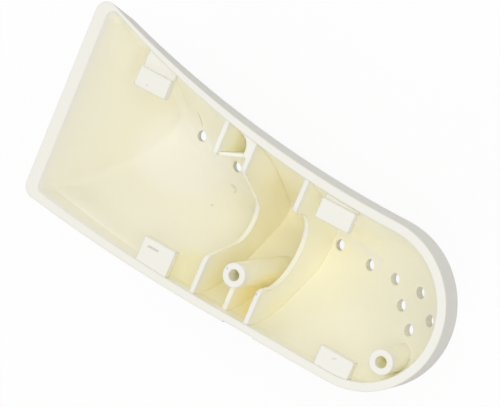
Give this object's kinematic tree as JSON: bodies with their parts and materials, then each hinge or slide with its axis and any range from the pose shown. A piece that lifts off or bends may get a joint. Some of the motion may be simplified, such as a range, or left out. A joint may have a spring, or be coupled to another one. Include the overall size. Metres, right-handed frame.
{
  "type": "moulded half housing",
  "caption": "Open half shell of a hand-held body, moulded in ivory plastic: flared straight end, round vented tail, saddle ribs, locating tabs and screw bosses.",
  "frame": {"origin": "on the axis of the front screw boss, at the parting plane, 0.1 mm below the boss mouth", "axes": "+X toward the round tail, +Y toward the flared long side, +Z out of the open side, square to the parting plane"},
  "size_m": [0.1141, 0.0562, 0.0368],
  "materials": {
    "ivory_abs": "fine satin"
  },
  "bodies": {
    "root": {"housing_shell": "ivory_abs"}
  },
  "joints": []
}
